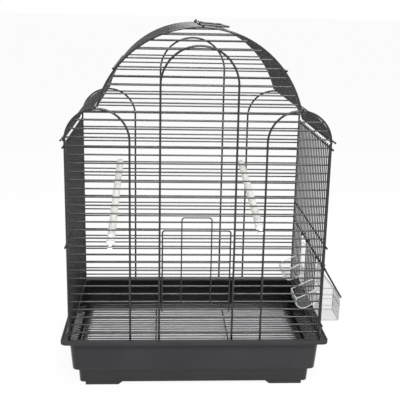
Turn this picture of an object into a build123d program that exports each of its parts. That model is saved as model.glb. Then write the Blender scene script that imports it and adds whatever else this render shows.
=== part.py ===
from build123d import *
import math
import os

os.makedirs("parts", exist_ok=True)

# Lengths are in millimetres. X runs across the front, Y from front to back, Z up.

# Wire diameters
arch_wire = 2.8
bar_wire = 2.0
cross_wire = 2.6
door_wire = 2.4
bail_wire = 3.0
wire_sides = 6
eye_sides = 8
corner_runs = 3

# Clearances
running_gap = 0.35
seat_gap = 0.3

# Wire cage, between the centres of its outer wires
frame_width = 398.0
frame_depth = 272.0
bar_pitch = 13.0
side_bar_spaces = 21
first_bar_height = 12.0

# Heights of the arches above the shelf that the cage stands on
side_spring_height = 318.9
side_leg_x = 103.2
tall_spring_height = 401.8
tall_leg_x = 57.7
dome_rise = 119.0
top_bar_drop = 10.8
roof_flare = 3.8
roof_edge_rise = 1.5
shoulder_end_angle = 76.0

# Turn of a bent wire in one straight run, in degrees
arch_turn = 12.0
dome_turn = 8.5
shoulder_turn = 20.0

# Cross wires along the depth
cross_wire_overhang = 5.0
side_top_drop = 9.9
side_bar_end = 3.0
side_middle_height = 154.0
dome_wire_angle = 53.0

# Base tub
tray_width = 425.0
tray_depth = 296.0
tray_wall = 2.5
tray_corner = 10.0
tray_corner_runs = 4
upper_corner_step = 1.0
lower_corner_step = 1.0
shelf_height = 83.0
lip_rise = 1.8
lip_drop = 4.2
body_side_inset = 12.4
body_front_inset = 11.0
upper_draft = 4.3
ledge_height = 32.0
ledge_side_inset = 8.7
ledge_front_inset = 5.0
lower_draft = 4.0
foot_height = 5.5
foot_length = 53.0
foot_depth = 30.0
foot_slope = 7.0
foot_inset = 9.7
foot_shell = 2.0
liner_thickness = 0.8
liner_margin = 1.2
liner_corner = 5.0

# Floor grille
grille_wire = 1.8
grille_rail_wire = 2.8
grille_pitch_target = 9.75
grille_margin = 3.4
grille_rail_inset = 1.8

# Front door, hinged on the bar under it
door_hinge_bar = 3
door_bar_count = 9
door_half_width = 53.8
door_shift = -0.8
door_corner = 4.0
catch_wire = 2.0
catch_half_width = 23.0
catch_reach = 21.3
catch_corner = 4.5
catch_foot_corner = 1.6

# Feeders and the flaps that cover them
feeder_first_bars = (1, 11)
feeder_bar_spaces = 4
feeder_sill_height = 24.0
flap_hinge_height = 119.2
flap_length = 66.0
flap_side_margin = 3.2
flap_corner = 4.0
flap_top_rail = 7.0
cup_wall = 1.6
cup_side_gap = 1.4
cup_outside = 34.1
cup_rim = 39.5
cup_cheek = 77.5
cup_corner = 3.0
scoop_reach = 38.0
scoop_tip_rise = 37.5
scoop_chin = 11.5
scoop_chin_reach = 25.5
scoop_chin_rise = 19.0
scoop_dam_rise = 34.5
scoop_cheek_rise = 56.5
scoop_corner = 6.0
cup_flange = 2.9
cup_band_height = 26.5
cup_band = 0.8

# Perches, clipped on bars of the front and back panels
perch_diameter = 12.0
perch_ribs = 12
perch_rib_depth = 0.4
perch_cap_diameter = 13.4
perch_cap_length = 20.0
perch_tip_diameter = 7.2
perch_tip_length = 6.0
perch_end_taper = 25.0
perch_slot_gap = 0.6
left_perch_back_x = -132.7
left_perch_front_x = -153.3
right_perch_back_x = 93.5
perch_back_bar = 17
left_perch_front_bar = 11
right_perch_front_bar = 13

# Carrying handle
handle_pin_x = 3.0
handle_arm = 43.0
handle_rest_angle = 4.4
handle_half_span = 6
handle_corner = 10.0

# Places that follow from the sizes above
half_width = frame_width / 2
arch_y = frame_depth / 2
bar_y = arch_y - (arch_wire + bar_wire) / 2
first_bar_z = shelf_height + first_bar_height
side_arch_radius = (half_width - side_leg_x) / 2
side_arch_x = (half_width + side_leg_x) / 2
side_arch_z = shelf_height + side_spring_height
side_top_z = side_arch_z - side_top_drop
valley_z = side_arch_z + side_arch_radius
dome_top_z = valley_z + dome_rise
dome_radius = (side_arch_x**2 + dome_rise**2) / (2 * dome_rise)
dome_z = dome_top_z - dome_radius
dome_half_angle = math.degrees(math.asin(side_arch_x / dome_radius))
tall_arch_z = shelf_height + tall_spring_height
side_cross_x = half_width + (arch_wire + cross_wire) / 2
side_bar_x = side_cross_x - (cross_wire + bar_wire) / 2
side_bar_pitch = frame_depth / side_bar_spaces
cross_half_length = arch_y + cross_wire_overhang
cross_offset = (arch_wire + cross_wire) / 2
roof_bar_offset = cross_offset - (cross_wire + bar_wire) / 2
flap_hinge_z = shelf_height + flap_hinge_height
feeder_sill_z = shelf_height + feeder_sill_height


def bar_z(number):
    """Height of a bar of the front or back panel, counted from the lowest as 0."""
    return first_bar_z + number * bar_pitch


def side_bar_y(number):
    """Place along the depth of a bar of the side walls and the roof."""
    return -arch_y + number * side_bar_pitch


def outline_half_width(height):
    """Half of the front panel's width at a height, from the arches that bound it."""
    if height <= side_arch_z:
        return half_width
    if height <= valley_z:
        return side_arch_x + math.sqrt(side_arch_radius**2 - (height - side_arch_z) ** 2)
    return math.sqrt(dome_radius**2 - (height - dome_z) ** 2)


def arc_points(centre_x, centre_z, radius, first, last, turn):
    """Points in X and Z on an arc, with angles measured from straight up towards +X."""
    runs = round((last - first) / turn)
    angles = [math.radians(first + (last - first) * step / runs) for step in range(runs + 1)]
    return [(centre_x + radius * math.sin(a), centre_z + radius * math.cos(a)) for a in angles]


def straight_wire(start, end, diameter, both=False):
    """Add a straight wire to the part in hand."""
    run = Vector(*end) - Vector(*start)
    with BuildSketch(Plane(origin=start, z_dir=run)) as section:
        RegularPolygon(diameter / 2, wire_sides)
    extrude(section.sketch, amount=run.length, both=both)


def pin_wire(start, end, diameter):
    """Add a straight wire that something turns on, with a round section."""
    run = Vector(*end) - Vector(*start)
    with BuildSketch(Plane(origin=start, z_dir=run)) as section:
        Circle(diameter / 2)
    extrude(section.sketch, amount=run.length)


def bent_wire(points, diameter):
    """Add a wire bent at each of a list of 3D points."""
    with BuildLine() as path:
        Polyline(*points)
    with BuildSketch(Plane(origin=path.line @ 0, z_dir=path.line % 0)) as section:
        RegularPolygon(diameter / 2, wire_sides)
    sweep(section.sketch, path=path.line, transition=Transition.RIGHT)


def rounded_wire(points, diameter, corners):
    """Add a wire through a list of 3D points, with a round bend at each square corner."""
    bends = [Vector(*point) for point in points]
    route = [bends[0]]
    for before, bend, after, corner in zip(bends, bends[1:], bends[2:], corners):
        back = (before - bend).normalized() * corner
        ahead = (after - bend).normalized() * corner
        for step in range(corner_runs + 1):
            turn = math.radians(90 * step / corner_runs)
            route.append(bend + back + ahead - ahead * math.cos(turn) - back * math.sin(turn))
    route.append(bends[-1])
    bent_wire(route, diameter)


def wire_eye(centre, axis, wire, around):
    """Add an eye of wire that turns on a round wire."""
    inner = around / 2 + running_gap
    with BuildSketch(Plane(origin=centre, z_dir=axis)) as section:
        RegularPolygon(inner + wire, eye_sides)
        RegularPolygon(inner, eye_sides, mode=Mode.SUBTRACT)
    extrude(section.sketch, amount=wire / 2, both=True)


def depth_wire(x, z):
    """Add a wire along the whole depth, with its ends standing out front and back."""
    straight_wire((x, 0, z), (x, cross_half_length, z), cross_wire, both=True)


def depth_pin(x, z):
    """Add a round wire along the whole depth, for something to turn on."""
    pin_wire((x, -cross_half_length, z), (x, cross_half_length, z), cross_wire)


finished = {}


def finish(builder, name):
    """Label a finished piece and keep it for export."""
    builder.part.label = name
    finished[name] = builder.part


# Front and back panels: arch wires
def panel_arches(y):
    """Add the bent wires of one panel: two side arches, the tall arch and the dome."""
    for side in (-1, 1):
        arc = arc_points(side * side_arch_x, side_arch_z, side_arch_radius, -90, 90, arch_turn)
        feet = [(arc[0][0], shelf_height), (arc[-1][0], shelf_height)]
        bent_wire([(x, y, z) for x, z in [feet[0]] + arc + [feet[1]]], arch_wire)
    arc = arc_points(0, tall_arch_z, tall_leg_x, -90, 90, arch_turn)
    feet = [(-tall_leg_x, shelf_height), (tall_leg_x, shelf_height)]
    bent_wire([(x, y, z) for x, z in [feet[0]] + arc + [feet[1]]], arch_wire)


def panel_dome(y):
    """Add the dome wire that springs from the tops of the side arches."""
    spring_drop = math.degrees(arch_wire / dome_radius)
    reach = dome_half_angle - spring_drop
    arc = arc_points(0, dome_z, dome_radius, -reach, reach, dome_turn)
    bent_wire([(x, y, z) for x, z in arc], arch_wire)


with BuildPart() as front_arch_wires:
    panel_arches(-arch_y)
finish(front_arch_wires, "front_arch_wires")

with BuildPart() as front_dome_wire:
    panel_dome(-arch_y)
finish(front_dome_wire, "front_dome_wire")

with BuildPart() as back_arch_wires:
    panel_arches(arch_y)
finish(back_arch_wires, "back_arch_wires")

with BuildPart() as back_dome_wire:
    panel_dome(arch_y)
finish(back_dome_wire, "back_dome_wire")

# Front and back panels: level bars
top_bar_z = dome_top_z - top_bar_drop
bar_count = int((top_bar_z - bar_wire - first_bar_z) // bar_pitch) + 1
bar_heights = [bar_z(number) for number in range(bar_count)] + [top_bar_z]
door_bars = range(door_hinge_bar + 1, door_hinge_bar + door_bar_count + 2)
full_heights = [z for z in bar_heights if z <= side_arch_z]
arched_heights = [z for z in bar_heights if z > side_arch_z]
door_heights = [bar_z(number) for number in door_bars]
hinge_z = bar_z(door_hinge_bar)


def level_bars(y, heights, first_x, last_x):
    """Add bars of one length, one at each height."""
    with BuildSketch(Plane.YZ.offset(first_x)) as section:
        with Locations(*[(y, z) for z in heights]):
            RegularPolygon(bar_wire / 2, wire_sides)
    extrude(section.sketch, amount=last_x - first_x)


def arched_bars(y):
    """Add the bars above the springing line, each as long as the arches let it be."""
    for z in arched_heights:
        reach = outline_half_width(z)
        level_bars(y, [z], -reach, reach)


with BuildPart() as front_bars:
    plain_heights = [z for z in full_heights if z != hinge_z and z not in door_heights]
    level_bars(-bar_y, plain_heights, -half_width, half_width)
    pin_wire((-half_width, -bar_y, hinge_z), (half_width, -bar_y, hinge_z), bar_wire)
    level_bars(-bar_y, door_heights, -half_width, -tall_leg_x)
    level_bars(-bar_y, door_heights, tall_leg_x, half_width)
    arched_bars(-bar_y)
finish(front_bars, "front_bars")

with BuildPart() as back_bars:
    level_bars(bar_y, full_heights, -half_width, half_width)
    arched_bars(bar_y)
finish(back_bars, "back_bars")

# Side walls
side_bar_top = side_top_z + side_bar_end
feeder_bars = [first + step for first in feeder_first_bars for step in range(1, feeder_bar_spaces)]


def upright_bars(x, numbers, bottom, top):
    """Add upright bars of one length in a side wall."""
    with BuildSketch(Plane.XY.offset(bottom)) as section:
        with Locations(*[(x, side_bar_y(number)) for number in numbers]):
            RegularPolygon(bar_wire / 2, wire_sides)
    extrude(section.sketch, amount=top - bottom)


with BuildPart() as left_bars:
    upright_bars(-side_bar_x, range(1, side_bar_spaces), shelf_height, side_bar_top)
finish(left_bars, "left_bars")

with BuildPart() as right_bars:
    whole_bars = [n for n in range(1, side_bar_spaces) if n not in feeder_bars]
    upright_bars(side_bar_x, whole_bars, shelf_height, side_bar_top)
    upright_bars(side_bar_x, feeder_bars, shelf_height, feeder_sill_z + cross_wire / 2)
    upright_bars(side_bar_x, feeder_bars, flap_hinge_z - cross_wire / 2, side_bar_top)
finish(right_bars, "right_bars")

with BuildPart() as left_cross_wires:
    for z in (first_bar_z, shelf_height + side_middle_height, side_top_z):
        depth_wire(-side_cross_x, z)
finish(left_cross_wires, "left_cross_wires")

with BuildPart() as right_cross_wires:
    for z in (shelf_height + side_middle_height, side_top_z):
        depth_wire(side_cross_x, z)
finish(right_cross_wires, "right_cross_wires")

with BuildPart() as feeder_sill_wire:
    depth_wire(side_cross_x, feeder_sill_z)
finish(feeder_sill_wire, "feeder_sill_wire")

with BuildPart() as flap_hinge_wire:
    depth_pin(side_cross_x, flap_hinge_z)
finish(flap_hinge_wire, "flap_hinge_wire")

# Roof: the bars of the dome and of the two shoulders lie under their cross wires
shoulder_bar_radius = side_arch_radius + roof_bar_offset
dome_bar_radius = dome_radius + roof_bar_offset
dome_cross_radius = dome_radius + cross_offset
shoulder_cross_radius = side_arch_radius + cross_offset
roof_numbers = range(1, side_bar_spaces)

# The valley wire touches the dome and the shoulder, so it lies where two circles cross
centre_gap = math.hypot(side_arch_x, side_arch_z - dome_z)
along = (dome_cross_radius**2 - shoulder_cross_radius**2 + centre_gap**2) / (2 * centre_gap)
across = math.sqrt(dome_cross_radius**2 - along**2)
gap_x = side_arch_x / centre_gap
gap_z = (side_arch_z - dome_z) / centre_gap
valley_x = along * gap_x - across * gap_z
valley_wire_z = dome_z + along * gap_z + across * gap_x
valley_angle = math.degrees(math.atan2(valley_x, valley_wire_z - dome_z))
shoulder_angle = math.degrees(math.atan2(valley_x - side_arch_x, valley_wire_z - side_arch_z))

upper_arc = arc_points(0, dome_z, dome_bar_radius, 0, dome_wire_angle, dome_turn)
lower_arc = arc_points(0, dome_z, dome_bar_radius, dome_wire_angle, valley_angle, dome_turn)
half_dome_arc = upper_arc + lower_arc[1:]
dome_arc = [(-x, z) for x, z in reversed(half_dome_arc[1:])] + half_dome_arc
shoulder_arc = arc_points(
    side_arch_x,
    side_arch_z,
    shoulder_bar_radius,
    shoulder_angle,
    shoulder_end_angle,
    shoulder_turn,
)
roof_edge = (half_width + roof_flare, side_arch_z - roof_edge_rise)


def roof_bar(points):
    """Add a bent bar of square section, with as much metal as a round bar."""
    side = bar_wire * math.sqrt(math.pi) / 2
    with BuildLine() as path:
        Polyline(*[(x, 0, z) for x, z in points])
    with BuildSketch(Plane(origin=path.line @ 0, z_dir=path.line % 0)) as section:
        Rectangle(side, side)
    sweep(section.sketch, path=path.line, transition=Transition.RIGHT)


with BuildPart() as dome_bar:
    roof_bar(dome_arc)

with BuildPart() as roof_dome_bars:
    with Locations(*[(0, side_bar_y(number), 0) for number in roof_numbers]):
        add(dome_bar.part)
finish(roof_dome_bars, "roof_dome_bars")


with BuildPart() as left_shoulder_bar:
    roof_bar([(-x, z) for x, z in shoulder_arc + [roof_edge]])

with BuildPart() as right_shoulder_bar:
    roof_bar(shoulder_arc + [roof_edge])

with BuildPart() as roof_left_bars:
    with Locations(*[(0, side_bar_y(number), 0) for number in roof_numbers]):
        add(left_shoulder_bar.part)
finish(roof_left_bars, "roof_left_bars")

with BuildPart() as roof_right_bars:
    with Locations(*[(0, side_bar_y(number), 0) for number in roof_numbers]):
        add(right_shoulder_bar.part)
finish(roof_right_bars, "roof_right_bars")

flare_x = roof_edge[0] - shoulder_arc[-1][0]
flare_z = roof_edge[1] - shoulder_arc[-1][1]
flare_length = math.hypot(flare_x, flare_z)
edge_offset = (bar_wire + cross_wire) / 2
edge_wire_x = roof_edge[0] - edge_offset * flare_z / flare_length - bar_wire * flare_x / flare_length
edge_wire_z = roof_edge[1] + edge_offset * flare_x / flare_length - bar_wire * flare_z / flare_length
dome_wire_turn = math.radians(dome_wire_angle)

with BuildPart() as roof_cross_wires:
    for side in (-1, 1):
        depth_wire(side * valley_x, valley_wire_z)
        depth_wire(side * edge_wire_x, edge_wire_z)
        depth_wire(
            side * dome_cross_radius * math.sin(dome_wire_turn),
            dome_z + dome_cross_radius * math.cos(dome_wire_turn),
        )
finish(roof_cross_wires, "roof_cross_wires")

# Carrying handle, folded down on the right half of the dome
handle_z = dome_z + math.sqrt(dome_cross_radius**2 - handle_pin_x**2)
handle_angle = math.radians(handle_rest_angle)
handle_y = handle_half_span * side_bar_pitch
handle_plane = Plane(
    origin=(handle_pin_x, 0, handle_z),
    x_dir=(math.cos(handle_angle), 0, -math.sin(handle_angle)),
    z_dir=(math.sin(handle_angle), 0, math.cos(handle_angle)),
)
eye_reach = cross_wire / 2 + running_gap + bail_wire / 2

with BuildPart() as handle_pin_wire:
    depth_pin(handle_pin_x, handle_z)
finish(handle_pin_wire, "handle_pin_wire")


def handle_point(x, y):
    """A point of the handle's plane in the part's own frame."""
    return tuple(handle_plane.from_local_coords(Vector(x, y, 0)))


with BuildPart() as handle_bail:
    for side in (-1, 1):
        wire_eye((handle_pin_x, side * handle_y, handle_z), (0, 1, 0), bail_wire, cross_wire)
    rounded_wire(
        [
            handle_point(eye_reach, -handle_y),
            handle_point(handle_arm, -handle_y),
            handle_point(handle_arm, handle_y),
            handle_point(eye_reach, handle_y),
        ],
        bail_wire,
        [handle_corner, handle_corner],
    )
finish(handle_bail, "handle_bail")

# Front door
door_y = -bar_y - (bar_wire + door_wire) / 2 - running_gap
door_bar_y = door_y + (door_wire + bar_wire) / 2
catch_y = door_y - (door_wire + catch_wire) / 2
door_top_z = bar_z(door_hinge_bar + door_bar_count + 1)
catch_foot_z = bar_z(door_hinge_bar + 1)

with BuildPart() as door_frame:
    for side in (-1, 1):
        leg_x = door_shift + side * (door_half_width - door_wire / 2)
        wire_eye((leg_x, -bar_y, hinge_z), (1, 0, 0), door_wire, bar_wire)
    left_x = door_shift - door_half_width + door_wire / 2
    right_x = door_shift + door_half_width - door_wire / 2
    rounded_wire(
        [
            (left_x, door_y, hinge_z),
            (left_x, door_y, door_top_z),
            (right_x, door_y, door_top_z),
            (right_x, door_y, hinge_z),
        ],
        door_wire,
        [door_corner, door_corner],
    )
finish(door_frame, "door_frame")

with BuildPart() as door_bar_set:
    with BuildSketch(Plane.YZ.offset(left_x)) as door_bar_section:
        with Locations(*[(door_bar_y, z) for z in door_heights[:-1]]):
            RegularPolygon(bar_wire / 2, wire_sides)
    extrude(amount=right_x - left_x)
finish(door_bar_set, "door_bars")

with BuildPart() as door_catch:
    catch_foot_y = door_bar_y - bar_wire / 2
    catch_left = door_shift - catch_half_width
    catch_right = door_shift + catch_half_width
    rounded_wire(
        [
            (catch_left, catch_foot_y, catch_foot_z),
            (catch_left, catch_y, catch_foot_z),
            (catch_left, catch_y, door_top_z + catch_reach),
            (catch_right, catch_y, door_top_z + catch_reach),
            (catch_right, catch_y, catch_foot_z),
            (catch_right, catch_foot_y, catch_foot_z),
        ],
        catch_wire,
        [catch_foot_corner, catch_corner, catch_corner, catch_foot_corner],
    )
finish(door_catch, "door_catch")

# Feeders in the right wall
opening_half_width = feeder_bar_spaces * side_bar_pitch / 2
flap_half_width = opening_half_width - flap_side_margin
cup_half_width = opening_half_width - bar_wire / 2 - cup_side_gap
cup_floor_z = feeder_sill_z + cross_wire / 2
cup_outer_x = half_width + cup_outside
scoop_tip_x = half_width - scoop_reach
scoop_chin_x = half_width - scoop_chin_reach
cheek_x = side_cross_x + cross_wire / 2 + seat_gap
flange_x = side_bar_x + bar_wire / 2 + seat_gap
corner_x = cup_outer_x - side_cross_x
corner_z = flap_hinge_z - cup_floor_z - cup_rim
flap_rest = math.atan2(corner_x, corner_z)
flap_rest += math.asin((door_wire / 2 + seat_gap) / math.hypot(corner_x, corner_z))


def feeder_centre(first):
    """Middle of a feeder opening along the depth."""
    return side_bar_y(first) + opening_half_width


def cup_profile(centre_y, inset, top):
    """Sketch a cup's side view: a scoop inside the wall, a dam, and a deep hopper outside."""
    floor = cup_floor_z + inset
    tip_x = scoop_tip_x + inset
    outer_x = cup_outer_x - inset
    with BuildSketch(Plane.XZ.offset(-centre_y)) as profile:
        with BuildLine():
            FilletPolyline(
                (tip_x, floor + scoop_tip_rise),
                (tip_x, floor + scoop_tip_rise - scoop_chin),
                (scoop_chin_x, floor + scoop_chin_rise),
                (flange_x + inset, floor + scoop_dam_rise),
                radius=scoop_corner,
            )
            Line((flange_x + inset, floor + scoop_dam_rise), (flange_x + inset, floor))
            FilletPolyline(
                (flange_x + inset, floor),
                (outer_x, floor),
                (outer_x, floor + cup_rim),
                radius=cup_corner,
            )
            Polyline((outer_x, floor + cup_rim), *top, (tip_x, floor + scoop_tip_rise))
        make_face()
    return profile.sketch


def feeder_cup(centre_y):
    """Add one feeder cup, open at the top, with sloping cheeks outside and inside the wall."""
    floor = cup_floor_z
    cheeks = [
        (cheek_x, floor + cup_cheek),
        (flange_x, floor + cup_cheek),
        (flange_x, floor + scoop_cheek_rise),
    ]
    extrude(cup_profile(centre_y, 0, cheeks), amount=cup_half_width, both=True)
    open_top = [
        (cup_outer_x - cup_wall, floor + 2 * cup_cheek),
        (scoop_tip_x + cup_wall, floor + 2 * cup_cheek),
    ]
    hollow = cup_profile(centre_y, cup_wall, open_top)
    extrude(hollow, amount=cup_half_width - cup_wall, both=True, mode=Mode.SUBTRACT)
    flange_bottom = floor + cross_wire + seat_gap
    flange_height = floor + cup_cheek - flange_bottom
    for side in (-1, 1):
        flange_y = centre_y + side * (cup_half_width + cup_flange / 2)
        with Locations((flange_x + cup_wall / 2, flange_y, flange_bottom + flange_height / 2)):
            Box(cup_wall, cup_flange, flange_height)
        band_y = centre_y + side * (cup_half_width + cup_band / 2)
        band_length = cup_outer_x - cheek_x - cross_wire
        with Locations((cup_outer_x - band_length / 2, band_y, floor + cup_band_height)):
            Box(band_length, cup_band, cup_wall)
    with Locations((cup_outer_x + cup_band / 2, centre_y, floor + cup_band_height)):
        Box(cup_band, 2 * (cup_half_width + cup_band), cup_wall)


def flap_point(reach, y):
    """A point of a flap at rest, a distance from its hinge."""
    x = side_cross_x + reach * math.sin(flap_rest)
    return (x, y, flap_hinge_z - reach * math.cos(flap_rest))


def flap_frame(centre_y):
    """Add the frame of a flap, with an eye on each side round the hinge wire."""
    first_y = centre_y - flap_half_width
    last_y = centre_y + flap_half_width
    eye = cross_wire / 2 + running_gap + door_wire / 2
    for y in (first_y, last_y):
        wire_eye((side_cross_x, y, flap_hinge_z), (0, 1, 0), door_wire, cross_wire)
    end = flap_length - door_wire / 2
    rounded_wire(
        [
            flap_point(eye, first_y),
            flap_point(end, first_y),
            flap_point(end, last_y),
            flap_point(eye, last_y),
        ],
        door_wire,
        [flap_corner, flap_corner],
    )
    straight_wire(flap_point(flap_top_rail, first_y), flap_point(flap_top_rail, last_y), bar_wire)


def flap_bars(centre_y):
    """Add the bars of a flap between its top rail and its lower end."""
    for step in range(1, feeder_bar_spaces):
        y = centre_y - opening_half_width + step * side_bar_pitch
        first = flap_top_rail + bar_wire / 2
        last = flap_length - door_wire
        straight_wire(flap_point(first, y), flap_point(last, y), bar_wire)


for place, first in zip(("front", "back"), feeder_first_bars):
    with BuildPart() as cup:
        feeder_cup(feeder_centre(first))
    finish(cup, f"feeder_cup_{place}")
    with BuildPart() as frame_wires:
        flap_frame(feeder_centre(first))
    finish(frame_wires, f"flap_frame_{place}")
    with BuildPart() as flap_bar_set:
        flap_bars(feeder_centre(first))
    finish(flap_bar_set, f"flap_bars_{place}")


# Perches
def perch_ends(back_x, front_x, front_bar):
    """Points of a perch at the two bars that it is clipped on, and its direction."""
    back = Vector(back_x, bar_y, bar_z(perch_back_bar))
    front = Vector(front_x, -bar_y, bar_z(front_bar))
    return back, front, (front - back).normalized()


def clip_slot(bar, outward):
    """Cut the slot that lets a perch end straddle a level bar."""
    slot = bar_wire + perch_slot_gap
    depth = 2 * perch_tip_length
    with Locations((bar.X, bar.Y + outward * (depth - slot) / 2, bar.Z)):
        Box(perch_cap_length, depth, slot, mode=Mode.SUBTRACT)


def perch_rod(back_x, front_x, front_bar):
    """Add a ribbed perch rod from its rounded back end to the cap at the front."""
    back, front, run = perch_ends(back_x, front_x, front_bar)
    rib_points = []
    for step in range(2 * perch_ribs):
        radius = perch_diameter / 2 - perch_rib_depth * (step % 2)
        turn = math.pi * step / perch_ribs
        rib_points.append((radius * math.cos(turn), radius * math.sin(turn)))
    cap_start = bar_wire / 2 + seat_gap + perch_cap_diameter / 2 * abs(run.Z)
    length = (front - back).length - perch_cap_length - cap_start
    with BuildSketch(Plane(origin=back, z_dir=run)) as section:
        Polygon(*rib_points, align=None)
    extrude(section.sketch, amount=length)
    with BuildSketch(Plane(origin=back, z_dir=-run)) as end:
        Circle(perch_diameter / 2 - perch_rib_depth)
    extrude(end.sketch, amount=perch_tip_length, taper=perch_end_taper)
    clip_slot(back, 1)


def perch_cap(back_x, front_x, front_bar):
    """Add the wider cap on the front end, with the slotted tip that holds the bar."""
    back, front, run = perch_ends(back_x, front_x, front_bar)
    face = front - run * (bar_wire / 2 + seat_gap + perch_cap_diameter / 2 * abs(run.Z))
    with BuildSketch(Plane(origin=face, z_dir=-run)) as body:
        Circle(perch_cap_diameter / 2)
    extrude(body.sketch, amount=perch_cap_length)
    with BuildSketch(Plane(origin=face, z_dir=run)) as tip:
        Circle(perch_tip_diameter / 2)
    extrude(tip.sketch, amount=(front - face).length + perch_tip_length)
    clip_slot(front, -1)


right_perch_front_x = side_leg_x - (arch_wire + perch_tip_diameter) / 2 - seat_gap
perch_places = {
    "left": (left_perch_back_x, left_perch_front_x, left_perch_front_bar),
    "right": (right_perch_back_x, right_perch_front_x, right_perch_front_bar),
}
for place, sizes in perch_places.items():
    with BuildPart() as rod:
        perch_rod(*sizes)
    finish(rod, f"perch_{place}")
    with BuildPart() as cap:
        perch_cap(*sizes)
    finish(cap, f"perch_cap_{place}")

# Base tub: a drafted upper box, a narrower lower box, a rim shelf with a lip, and feet
body_half_x = tray_width / 2 - body_side_inset
body_half_y = tray_depth / 2 - body_front_inset
ledge_outer_z = ledge_height - tray_wall
upper_height = shelf_height - ledge_outer_z
upper_in = upper_height * math.tan(math.radians(upper_draft))
lower_half_x = body_half_x - upper_in - ledge_side_inset
lower_half_y = body_half_y - upper_in - ledge_front_inset
lower_height = ledge_outer_z - foot_height
lower_in = lower_height * math.tan(math.radians(lower_draft))


def rounded_outline(half_x, half_y, corner):
    """Points of a rectangle whose corners are rounded in short runs."""
    points = []
    for quarter, (side, end) in enumerate(((1, 1), (-1, 1), (-1, -1), (1, -1))):
        for step in range(tray_corner_runs + 1):
            turn = math.radians(90 * (quarter + step / tray_corner_runs))
            x = side * (half_x - corner) + corner * math.cos(turn)
            y = end * (half_y - corner) + corner * math.sin(turn)
            points.append((x, y))
    return points


def tub_box(half_x, half_y, top, bottom, draft, corner, mode=Mode.ADD):
    """Add or cut a box with round corners that narrows downwards."""
    with BuildSketch(Plane.XY.offset(top)) as section:
        Polygon(*rounded_outline(half_x, half_y, corner), align=None)
    extrude(section.sketch, amount=bottom - top, taper=draft, mode=mode)


def tray_foot(side, middle_y):
    """Add one foot, with a slope on the side that faces the tray's middle."""
    foot_x = lower_half_x - lower_in - foot_inset
    with BuildSketch(Plane.XZ.offset(-middle_y)) as profile:
        Polygon(
            (side * foot_x, foot_height + foot_shell),
            (side * foot_x, 0),
            (side * (foot_x - foot_length), 0),
            (side * (foot_x - foot_length - foot_slope), foot_height),
            (side * (foot_x - foot_length - foot_slope), foot_height + foot_shell),
            align=None,
        )
    extrude(profile.sketch, amount=foot_depth / 2, both=True)


upper_corner = tray_corner - upper_corner_step
lower_corner = upper_corner - lower_corner_step
foot_y = lower_half_y - lower_in - foot_depth / 2

with BuildPart() as tray:
    tub_box(body_half_x, body_half_y, shelf_height, ledge_outer_z, upper_draft, upper_corner)
    tub_box(lower_half_x, lower_half_y, ledge_outer_z, foot_height, lower_draft, lower_corner)
    rim_bottom = shelf_height - tray_wall
    tub_box(tray_width / 2, tray_depth / 2, shelf_height, rim_bottom, 0, tray_corner)
    with BuildSketch(Plane.XY.offset(shelf_height - lip_drop)) as lip:
        Polygon(*rounded_outline(tray_width / 2, tray_depth / 2, tray_corner), align=None)
        inner_lip = rounded_outline(
            tray_width / 2 - tray_wall, tray_depth / 2 - tray_wall, tray_corner - tray_wall
        )
        Polygon(*inner_lip, align=None, mode=Mode.SUBTRACT)
    extrude(lip.sketch, amount=lip_drop + lip_rise)
    for side in (-1, 1):
        for end in (-1, 1):
            tray_foot(side, end * foot_y)
    tub_box(
        body_half_x - tray_wall,
        body_half_y - tray_wall,
        shelf_height,
        ledge_height,
        upper_draft,
        upper_corner - tray_wall,
        Mode.SUBTRACT,
    )
    tub_box(
        lower_half_x - tray_wall,
        lower_half_y - tray_wall,
        ledge_height,
        foot_height + tray_wall,
        lower_draft,
        lower_corner - tray_wall,
        Mode.SUBTRACT,
    )
finish(tray, "tray")

liner_half_x = lower_half_x - lower_in - tray_wall - liner_margin
liner_half_y = lower_half_y - lower_in - tray_wall - liner_margin
with BuildPart() as tray_liner:
    with BuildSketch(Plane.XY.offset(foot_height + tray_wall)) as liner_sheet:
        Polygon(*rounded_outline(liner_half_x, liner_half_y, liner_corner), align=None)
    extrude(amount=liner_thickness)
finish(tray_liner, "tray_liner")

# Floor grille, resting on the ledge inside the tub
ledge_half_x = body_half_x - upper_in - tray_wall
ledge_half_y = body_half_y - upper_in - tray_wall
grille_half_x = ledge_half_x - grille_margin
grille_half_y = ledge_half_y - grille_margin
rail_z = ledge_height + seat_gap + grille_rail_wire / 2
grille_z = rail_z + (grille_rail_wire + grille_wire) / 2
grille_spaces = round(2 * (grille_half_y - grille_wire) / grille_pitch_target)
grille_pitch = 2 * (grille_half_y - grille_wire) / grille_spaces
rail_half_x = grille_half_x - grille_rail_inset

with BuildPart() as grille_bars:
    with BuildSketch(Plane.YZ) as grille_section:
        with GridLocations(grille_pitch, 1, grille_spaces + 1, 1):
            RegularPolygon(grille_wire / 2, wire_sides)
    extrude(amount=grille_half_x, both=True)
grille_bars.part.locate(Location((0, 0, grille_z)))
finish(grille_bars, "grille_bars")

with BuildPart() as grille_rails:
    for share in (-1, -1 / 3, 1 / 3, 1):
        straight_wire(
            (share * rail_half_x, 0, rail_z),
            (share * rail_half_x, grille_half_y, rail_z),
            grille_rail_wire,
            both=True,
        )
finish(grille_rails, "grille_rails")

# The origin is on the ground, at the middle of the whole object's outline
boxes = [piece.bounding_box() for piece in finished.values()]
middle_x = (min(box.min.X for box in boxes) + max(box.max.X for box in boxes)) / 2
middle_y = (min(box.min.Y for box in boxes) + max(box.max.Y for box in boxes)) / 2
ground = min(box.min.Z for box in boxes)
for name, piece in finished.items():
    moved = piece.moved(Location((-middle_x, -middle_y, -ground)))
    moved.label = name
    export_step(moved, f"parts/{name}.step")
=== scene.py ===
import math

import bpy
from mathutils import Matrix, Vector


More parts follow.
